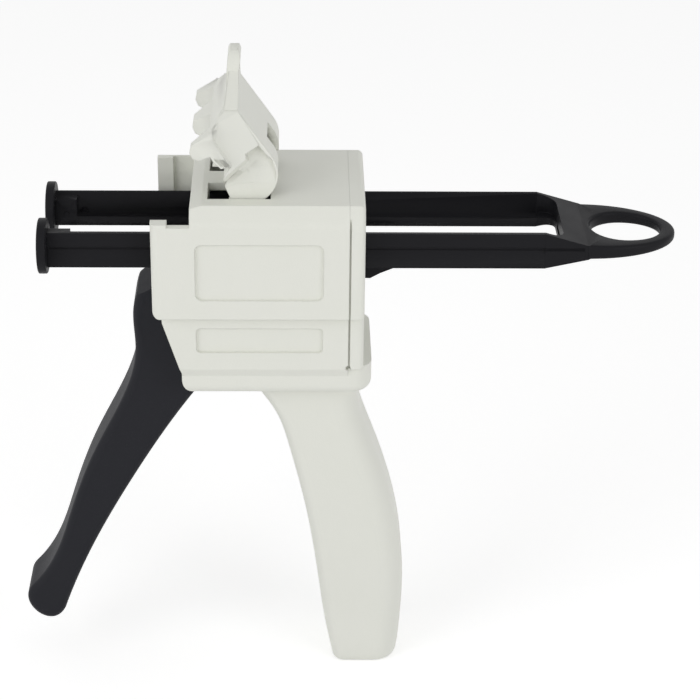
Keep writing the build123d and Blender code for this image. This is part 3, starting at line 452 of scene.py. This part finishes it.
class GUN_OT_plunger(bpy.types.Operator):
    """Black plunger with its rounded pull loop, its discs and the release lever"""
    bl_idname = "gun.plunger"
    bl_label = "Black Plunger"

    # Sections of the rods and the loop, in millimetres across and up.
    half_width, web_inner, flange_inner, nose_inner = 15.7, 14.3, 10.3, 9.0
    rod_top, rod_bottom = 5.0, -6.0
    flange_top, flange_bottom, flange_inset = -1.2, -2.9, 0.9
    loop_top, loop_bottom, loop_middle = 1.3, -3.2, -1.4
    tip_top, tip_bottom = 0.3, -2.6
    nose_top, groove_low, groove_high = 4.1, -0.35, 0.55
    groove_depth, ramp_groove_depth = 0.85, 0.25
    # Places along the rods, in millimetres from the flange slot.
    rod_start, nose_end, rod_end, groove_end = -40.0, -33.5, 105.4, 117.0
    # The loop's sides run straight from the ramp to its neck, and its rims are round from this far behind.
    neck_run, round_from = 3.0, 0.3
    # How far the blocks reach into each other, and the broadest face with a smooth shade, in mm and mm2.
    overlap, broad = 0.05, 6.0
    boss_place, boss_radii, boss_height, boss_sunk = (-32.2, -0.9), (1.1, 0.9), 1.2, 0.4

    def execute(self, context):
        size = context.scene.gun_plunger
        rods = bmesh.new()
        rods.from_mesh(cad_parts["plunger_frame"].data)
        bmesh.ops.remove_doubles(rods, verts=rods.verts, dist=1e-6)
        ramp = self.ramp(size, self.web_inner, (self.rod_bottom, self.rod_top))
        shapes = [cut_from(rods, [*self.cutters(), *self.grooves(self.groove_depth)]),
                  cut_from(ramp, self.grooves(self.ramp_groove_depth))]
        flange = (self.flange_bottom, self.flange_top)
        shapes.append(self.ramp(size, self.flange_inner, flange, self.flange_inset))
        shapes.append(self.loop(size))
        shapes += [self.boss(side) for side in (-1, 1)]
        plunger = gathered("plunger_rods", shapes, self.broad)
        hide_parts("plunger_frame")
        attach(plunger, "plunger")
        look = context.scene.gun_finish
        black = moulded("black_plastic", look.black, look.black, look.black_roughness, look.black_grain,
                        look.black_edge, look.black_gloss)
        dress(black, "piston_disc_near", "piston_disc_far", "disc_pins", "release_lever", "drive_pawl")
        plunger.data.materials.append(black)
        return {"FINISHED"}

    def rectangle(self, start, end, low, high):
        """Corners of a rectangle in the side plane."""
        return [(start, low), (end, low), (end, high), (start, high)]

    def cutters(self):
        """Room for the new loop and a lower nose behind each disc."""
        far, wide = 160, 20
        end = side_prism(self.rectangle(self.rod_end, far, -wide, wide), (-wide, wide))
        above = self.rectangle(self.rod_start - 0.5, self.nose_end, self.nose_top, self.rod_top + 1.0)
        nose = side_prism(above, (self.nose_inner, self.web_inner))
        return [end, nose, other_side(nose)]

    def grooves(self, depth):
        """Groove along the outer side of each rod and on along the ramp."""
        strip = self.rectangle(self.rod_start, self.groove_end, self.groove_low, self.groove_high)
        groove = side_prism(strip, (self.half_width - depth, self.half_width + 1))
        return [groove, other_side(groove)]

    def ramp(self, size, gap, z_range, inset=0.0):
        """Layer of the wedge that joins the rods, round where the gap between them ends."""
        start, end = self.rod_end - self.overlap, size.ramp_end + 2 * self.overlap - inset
        half = self.half_width - inset
        shape = bmesh.new()
        corners = [(start, half), (start, gap), (size.gap_end, gap), (size.gap_end, -gap),
                   (start, -gap), (start, -half), (end, -half), (end, half)]
        face = shape.faces.new([shape.verts.new(millimetres(x, y, z_range[0])) for x, y in corners])
        made = bmesh.ops.extrude_face_region(shape, geom=[face])["geom"]
        upper = [item for item in made if isinstance(item, bmesh.types.BMVert)]
        bmesh.ops.translate(shape, verts=upper, vec=millimetres(0, 0, z_range[1] - z_range[0]))
        inner = [edge for edge in shape.edges if abs(edge.verts[0].co.z - edge.verts[1].co.z) > MM
                 and all(abs(vertex.co.x - size.gap_end * MM) < 1e-6 for vertex in edge.verts)]
        bmesh.ops.bevel(shape, geom=inner, offset=size.gap_round * MM, segments=7, profile=0.5,
                        affect="EDGES", material=-1)
        bmesh.ops.recalc_face_normals(shape, faces=shape.faces)
        inside = (size.ramp_end, 0, self.loop_middle)
        for near, far in ((self.rod_top, self.loop_top), (self.rod_bottom, self.loop_bottom)):
            front = (start, -self.nose_inner, near), (start, self.nose_inner, near)
            shape = sliced(shape, *front, (size.ramp_end, 0, far), inside)
        return shape

    def level(self, size, x, front, back):
        """Height of one of the loop's faces, which tapers towards the tip."""
        share = (x / MM - size.ramp_end) / (size.loop_tip - size.ramp_end)
        return (front + (back - front) * share) * MM

    def loop(self, size):
        """Pull loop: half an ellipse outside, a rounded hole, soft rims, thinner towards its tip."""
        segments, corner = 72, 1.2
        shape = bmesh.new()
        outer = bmesh.ops.create_circle(shape, cap_ends=False, segments=segments, radius=1)["verts"]
        inner = bmesh.ops.create_circle(shape, cap_ends=False, segments=segments, radius=1)["verts"]
        neck = size.ramp_end + self.neck_run
        for vertex in outer:
            x, y = vertex.co.x, vertex.co.y
            if x > 0:
                vertex.co = millimetres(neck + (size.loop_tip - neck) * x, self.half_width * y, 0)
            else:
                reach = max(abs(x), abs(y))
                run = self.neck_run - self.overlap
                vertex.co = millimetres(neck + run * x / reach, self.half_width * y / reach, 0)
        for vertex in inner:
            x, y = vertex.co.x, vertex.co.y
            run = size.hole_back - size.hole_middle if x > 0 else size.hole_middle - size.hole_front
            vertex.co = millimetres(size.hole_middle + run * x, size.hole_half_width * y, 0)
        bmesh.ops.bridge_loops(shape, edges=shape.edges[:])
        for vertex in shape.verts:
            vertex.co.z = self.level(size, vertex.co.x, self.loop_bottom, self.tip_bottom)
        made = bmesh.ops.extrude_face_region(shape, geom=shape.faces[:])["geom"]
        upper = [item for item in made if isinstance(item, bmesh.types.BMVert)]
        for vertex in upper:
            vertex.co.z = self.level(size, vertex.co.x, self.loop_top, self.tip_top)
        bmesh.ops.recalc_face_normals(shape, faces=shape.faces)
        behind = (size.ramp_end + self.round_from) * MM
        rims = [edge for edge in shape.edges if edge.is_manifold and edge.calc_face_angle() > corner
                and min(vertex.co.x for vertex in edge.verts) > behind]
        bmesh.ops.bevel(shape, geom=rims, offset=size.loop_round * MM, segments=4, profile=0.5,
                        affect="EDGES", material=-1)
        return shape

    def boss(self, side):
        """Small moulded boss on the inner face of each rod, behind the nose."""
        foot, top = self.boss_radii
        x, z = self.boss_place
        shape = bmesh.new()
        bmesh.ops.create_cone(shape, cap_ends=True, segments=24, radius1=foot * MM, radius2=top * MM,
                              depth=self.boss_height * MM)
        turn = Matrix.Rotation(math.radians(90 * side), 4, "X")
        bmesh.ops.transform(shape, matrix=turn, verts=shape.verts)
        place = millimetres(x, side * (self.web_inner - self.boss_sunk), z)
        bmesh.ops.translate(shape, verts=shape.verts, vec=place)
        return shape


class GUN_OT_trigger(bpy.types.Operator):
    """Charcoal finish of the trigger"""
    bl_idname = "gun.trigger"
    bl_label = "Charcoal Trigger"

    def execute(self, context):
        look = context.scene.gun_finish
        charcoal = moulded("charcoal_plastic", look.charcoal, look.charcoal, look.charcoal_roughness,
                           look.black_grain, look.edge, look.black_gloss)
        dress(charcoal, "trigger")
        return {"FINISHED"}


class GUN_OT_metalwork(bpy.types.Operator):
    """Steel finish of the pins, screws, springs and inner frame"""
    bl_idname = "gun.metalwork"
    bl_label = "Steel Parts"

    def execute(self, context):
        steel = context.scene.gun_finish.steel
        dress(metal("ground_pin", steel, roughness=0.28, stretch=(1, 0.05, 1)),
              "locking_lever_pin", "trigger_pin", "drive_pawl_pin", "release_lever_pin")
        dress(metal("rolled_sheet", steel, roughness=0.38, stretch=(0.1, 1, 1)),
              "frame_plate_near", "frame_plate_far", "frame_ties")
        dress(metal("screw_steel", steel, roughness=0.33, stretch=(0.2, 1, 1)), "cover_screws")
        dress(metal("spring_wire", steel, roughness=0.3, stretch=(1, 1, 1)),
              "trigger_spring", "drive_pawl_spring", "release_spring")
        return {"FINISHED"}


class GUN_OT_studio(bpy.types.Operator):
    """White floor, soft lamps and the camera"""
    bl_idname = "gun.studio"
    bl_label = "Studio"

    # Where the lamps stand, in millimetres, and how wide they are, in metres.
    key_place, key_size = (-700, -560, 330), 0.8
    fill_place, fill_size = (700, -640, 240), 0.6
    # Half the floor's width, in metres, and how white it is.
    floor_half, paper = 3.0, 0.9

    def execute(self, context):
        studio = context.scene.gun_studio
        self.floor(studio)
        self.world(context.scene, studio)
        centre = Vector(studio.camera_target)
        self.lamp("key_lamp", millimetres(*self.key_place), centre, self.key_size, studio.key)
        self.lamp("fill_lamp", millimetres(*self.fill_place), centre, self.fill_size, studio.fill)
        self.camera(context.scene, studio)
        return {"FINISHED"}

    def seen_white(self, finish):
        """1 where a ray comes from the camera, a reflection or through a clear part."""
        rays = [finish.node("ShaderNodeLightPath", output=name)
                for name in ("Is Camera Ray", "Is Glossy Ray", "Is Transmission Ray")]
        return rays[0].math("MAXIMUM", rays[0], rays[1].math("MAXIMUM", rays[1], rays[2]))

    def floor(self, studio):
        """White floor at the foot of the grip, which takes the shadow and looks bright in the picture."""
        shape = bmesh.new()
        bmesh.ops.create_grid(shape, x_segments=1, y_segments=1, size=self.floor_half)
        bmesh.ops.translate(shape, verts=shape.verts, vec=(0, 0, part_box("housing")[0].z))
        floor = as_object("floor", shape)
        finish = Finish(bpy.data.materials.new("floor_white"))
        paper = finish.node("ShaderNodeBsdfDiffuse", values={"Color": (*[self.paper] * 3, 1)})
        glow = finish.node("ShaderNodeEmission",
                           values={"Color": (1, 1, 1, 1), "Strength": studio.floor_glow})
        share = self.seen_white(finish) * (1 - studio.floor_shadow)
        both = finish.node("ShaderNodeMixShader", values={0: share, 1: paper, 2: glow})
        finish.node("ShaderNodeOutputMaterial", values={"Surface": both})
        floor.data.materials.append(finish.owner)

    def world(self, scene, studio):
        """White where the camera or a reflection sees it, and even soft light everywhere else."""
        finish = Finish(bpy.data.worlds.new("studio_world"))
        seen = self.seen_white(finish)
        strength = seen + (1 - seen) * studio.ambient
        light = finish.node("ShaderNodeBackground", values={"Color": (1, 1, 1, 1), "Strength": strength})
        finish.node("ShaderNodeOutputWorld", values={"Surface": light})
        scene.world = finish.owner

    def lamp(self, name, place, target, size, power):
        """Round soft lamp turned towards a point."""
        light = bpy.data.lights.new(name, "AREA")
        light.shape = "DISK"
        light.size = size
        light.energy = power
        lamp = bpy.data.objects.new(name, light)
        lamp.location = place
        lamp.rotation_euler = (place - target).to_track_quat("Z", "Y").to_euler()
        bpy.context.scene.collection.objects.link(lamp)

    def camera(self, scene, studio):
        """Camera at its place, turned towards its target and then rolled."""
        place, target = Vector(studio.camera_place), Vector(studio.camera_target)
        back = (place - target).normalized()
        right = Vector((0, 0, 1)).cross(back).normalized()
        up = back.cross(right)
        turned_right = right * math.cos(studio.camera_roll) + up * math.sin(studio.camera_roll)
        turned_up = up * math.cos(studio.camera_roll) - right * math.sin(studio.camera_roll)
        pose = Matrix((turned_right, turned_up, back)).transposed().to_4x4()
        pose.translation = place
        data = bpy.data.cameras.new("camera")
        data.lens = studio.lens
        data.sensor_width = 36.0
        data.clip_start = 0.01
        data.clip_end = 50
        camera = bpy.data.objects.new("camera", data)
        camera.matrix_world = pose
        scene.collection.objects.link(camera)
        scene.camera = camera
        scene.view_settings.view_transform = "Standard"


class GUN_PT_sidebar(bpy.types.Panel):
    """Settings and steps of the dispensing gun"""
    bl_idname = "GUN_PT_sidebar"
    bl_label = "Dispensing Gun"
    bl_space_type = "VIEW_3D"
    bl_region_type = "UI"
    bl_category = "Dispenser"

    def draw(self, context):
        scene = context.scene
        for group in (scene.gun_finish, scene.gun_lever, scene.gun_plunger, scene.gun_studio):
            box = self.layout.box()
            for name in group.__annotations__:
                box.prop(group, name)
        for step in steps:
            self.layout.operator(step.bl_idname)


steps = (GUN_OT_shell, GUN_OT_lever, GUN_OT_plunger, GUN_OT_trigger, GUN_OT_metalwork, GUN_OT_studio)
classes = (FinishSettings, LeverSettings, PlungerSettings, StudioSettings, *steps, GUN_PT_sidebar)


def register():
    """Adds the settings, steps and sidebar to Blender."""
    for item in classes:
        bpy.utils.register_class(item)
    bpy.types.Scene.gun_finish = PointerProperty(type=FinishSettings)
    bpy.types.Scene.gun_lever = PointerProperty(type=LeverSettings)
    bpy.types.Scene.gun_plunger = PointerProperty(type=PlungerSettings)
    bpy.types.Scene.gun_studio = PointerProperty(type=StudioSettings)


def unregister():
    """Takes them out again."""
    del bpy.types.Scene.gun_finish
    del bpy.types.Scene.gun_lever
    del bpy.types.Scene.gun_plunger
    del bpy.types.Scene.gun_studio
    for item in reversed(classes):
        bpy.utils.unregister_class(item)


def main():
    """Runs every step in order."""
    register()
    bpy.ops.gun.shell()
    bpy.ops.gun.lever()
    bpy.ops.gun.plunger()
    bpy.ops.gun.trigger()
    bpy.ops.gun.metalwork()
    bpy.ops.gun.studio()


if __name__ == "__main__":
    main()
